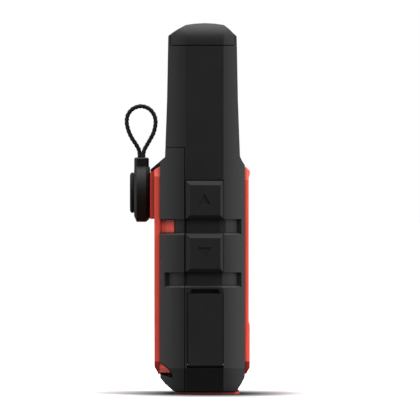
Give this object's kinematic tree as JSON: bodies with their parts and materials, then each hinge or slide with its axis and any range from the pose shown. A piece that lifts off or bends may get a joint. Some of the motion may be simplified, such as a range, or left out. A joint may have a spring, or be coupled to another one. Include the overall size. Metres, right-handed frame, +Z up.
{
  "type": "handheld satellite gps communicator",
  "caption": "Pocket GPS communicator with a stub antenna tower, raised side keys, hinged port caps, red front and back plates, and a lanyard adapter on a spine mount.",
  "frame": {"origin": "centre of the base plate's underside width, under the middle of the body, on the plane it stands on", "axes": "+Z up along the antenna tower, -Y out of the display, +Y out of the back and the lanyard adapter, +X to the right of the display"},
  "size_m": [0.0516, 0.0337, 0.099],
  "materials": {
    "housing_black": "fine-textured black polymer",
    "rubber_black": "matt black elastomer",
    "plate_red": "satin red moulded plastic",
    "lens_glass": "black-backed display window",
    "lcd": "transflective display cell",
    "steel": "nickel-plated steel",
    "board": "solder-masked circuit board",
    "ceramic": "unglazed dielectric ceramic",
    "copper": "drawn copper wire",
    "cell_wrap": "foil battery wrap",
    "foam": "closed-cell foam",
    "actuator": "natural nylon",
    "led_lens": "clear green light guide",
    "adapter_grey": "matt dark grey plastic",
    "cord": "braided black polyester"
  },
  "bodies": {
    "device": {"front_housing": "housing_black", "rear_housing": "housing_black", "antenna_cap": "housing_black", "lens_gasket": "rubber_black", "housing_gasket": "rubber_black", "front_bezel": "plate_red", "rear_shell": "plate_red", "base_plate": "plate_red", "display_lens": "lens_glass", "lcd_panel": "lcd", "lcd_frame": "steel", "rf_shield_can": "steel", "usb_receptacle": "steel", "usb_cap_pin": "steel", "sos_cap_pin": "steel", "housing_screw_1": "steel", "housing_screw_2": "steel", "housing_screw_3": "steel", "housing_screw_4": "steel", "switch_up": "steel", "switch_down": "steel", "switch_back": "steel", "switch_ok": "steel", "switch_power": "steel", "switch_sos": "steel", "main_pcb": "board", "antenna_board": "board", "gps_patch_antenna": "ceramic", "antenna_core": "ceramic", "antenna_helix": "copper", "battery_pack": "cell_wrap", "battery_foam": "foam", "status_led": "led_lens", "beeper": "adapter_grey", "antenna_coax": "adapter_grey"},
    "scroll_up": {"scroll_up_key": "rubber_black", "plunger_up": "actuator"},
    "scroll_down": {"scroll_down_key": "rubber_black", "plunger_down": "actuator"},
    "back": {"back_key": "rubber_black", "plunger_back": "actuator"},
    "ok": {"ok_key": "rubber_black", "plunger_ok": "actuator"},
    "power": {"power_key": "rubber_black", "plunger_power": "actuator"},
    "sos": {"sos_button": "plate_red", "plunger_sos": "actuator"},
    "weather_cap": {"usb_weather_cap": "rubber_black"},
    "sos_guard": {"sos_cap": "housing_black"},
    "adapter": {"adapter_body": "rubber_black", "adapter_cap": "adapter_grey", "adapter_foot": "steel", "adapter_screw": "steel", "cord_knot": "cord", "lanyard_cord": "cord"}
  },
  "joints": [
    {"name": "scroll_up_press", "type": "slide", "parent": "device", "child": "scroll_up", "axis": [1, 0, 0], "range_m": [0, 0.0005], "stiffness_N_per_m": 3000, "springref_m": -0.0002},
    {"name": "scroll_down_press", "type": "slide", "parent": "device", "child": "scroll_down", "axis": [1, 0, 0], "range_m": [0, 0.0005], "stiffness_N_per_m": 3000, "springref_m": -0.0002},
    {"name": "back_press", "type": "slide", "parent": "device", "child": "back", "axis": [-1, 0, 0], "range_m": [0, 0.0005], "stiffness_N_per_m": 3000, "springref_m": -0.0002},
    {"name": "ok_press", "type": "slide", "parent": "device", "child": "ok", "axis": [-1, 0, 0], "range_m": [0, 0.0005], "stiffness_N_per_m": 3000, "springref_m": -0.0002},
    {"name": "power_press", "type": "slide", "parent": "device", "child": "power", "axis": [0, 1, 0], "range_m": [0, 0.0004], "stiffness_N_per_m": 3000, "springref_m": -0.0002},
    {"name": "sos_press", "type": "slide", "parent": "device", "child": "sos", "axis": [-1, 0, 0], "range_m": [0, 0.0005], "stiffness_N_per_m": 3000, "springref_m": -0.0002},
    {"name": "weather_cap_hinge", "type": "hinge", "parent": "device", "child": "weather_cap", "pos_m": [-0.02455, -0.00088, 0.008], "axis": [0, -1, 0], "range_deg": [0, 100]},
    {"name": "sos_guard_hinge", "type": "hinge", "parent": "device", "child": "sos_guard", "pos_m": [0.02455, -0.00088, 0.008], "axis": [0, 1, 0], "range_deg": [0, 100]},
    {"name": "adapter_slide", "type": "slide", "parent": "device", "child": "adapter", "axis": [0, 0, -1], "range_m": [0, 0.0062]}
  ]
}
